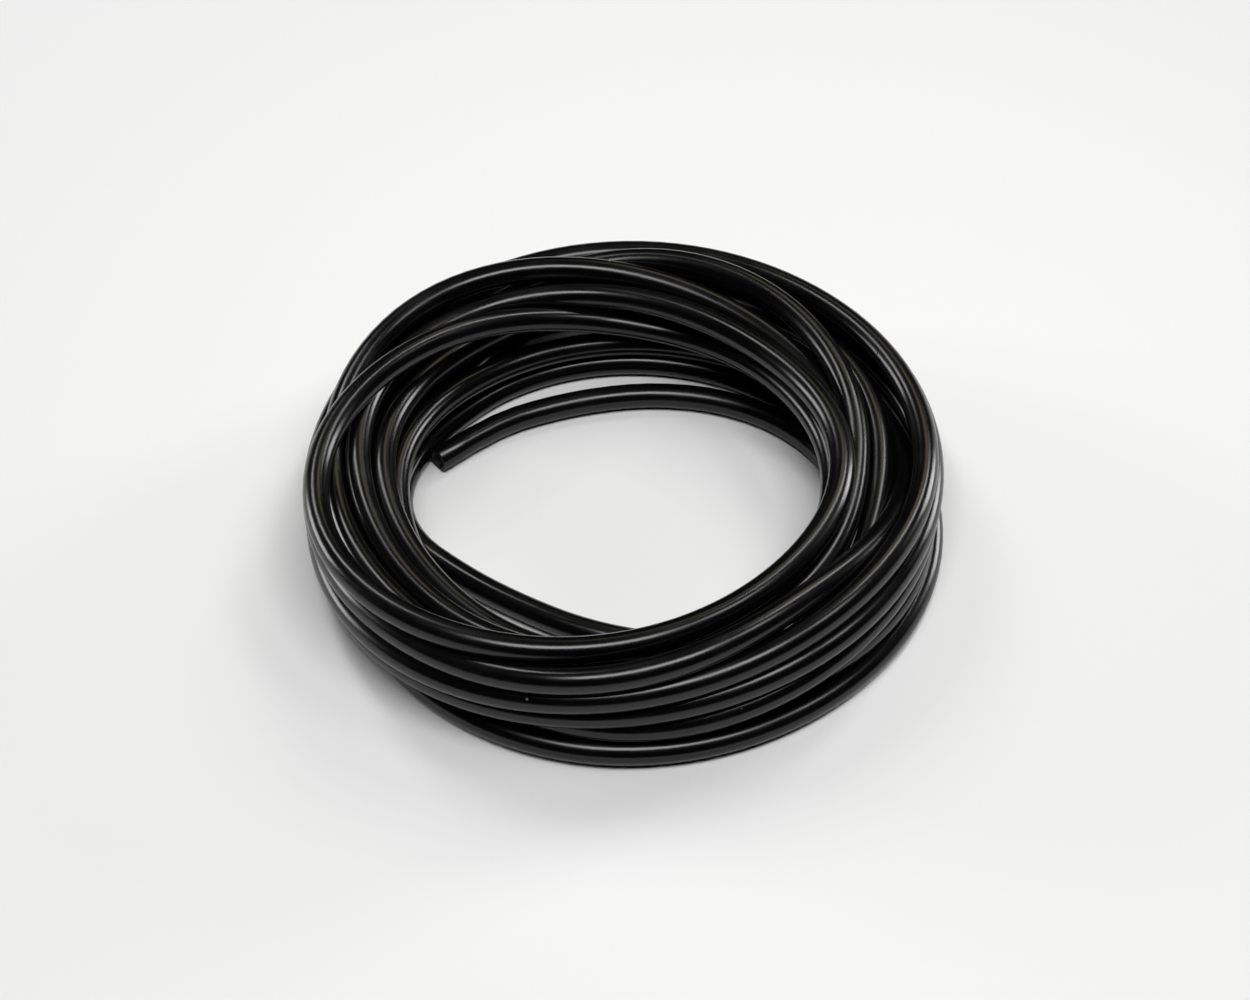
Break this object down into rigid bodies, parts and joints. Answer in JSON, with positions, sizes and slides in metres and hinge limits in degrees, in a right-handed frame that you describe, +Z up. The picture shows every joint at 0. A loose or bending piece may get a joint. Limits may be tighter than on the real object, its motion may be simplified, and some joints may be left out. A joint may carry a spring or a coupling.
{
  "type": "coiled hose",
  "caption": "Loosely wound coil of plain, smooth, flexible hose, lying flat, with a bare square-cut end inside the coil and another beside it.",
  "frame": {"origin": "on the floor, under the middle of the whole part's bounding box; the middle of the ring is 0.2 mm to the left of it and 3.8 mm to the front", "axes": "+Z up, square to the coil; +X to the viewer's right; -Y towards the viewer, on the side opposite the outer end"},
  "size_m": [0.1494, 0.1516, 0.0309],
  "materials": {
    "hose": "smooth extruded black flexible tubing, glossy, with fine draw lines, faint haze and light scuffs"
  },
  "bodies": {
    "hose": {"coil": "hose", "inner_end": "hose", "outer_end": "hose"}
  },
  "joints": []
}
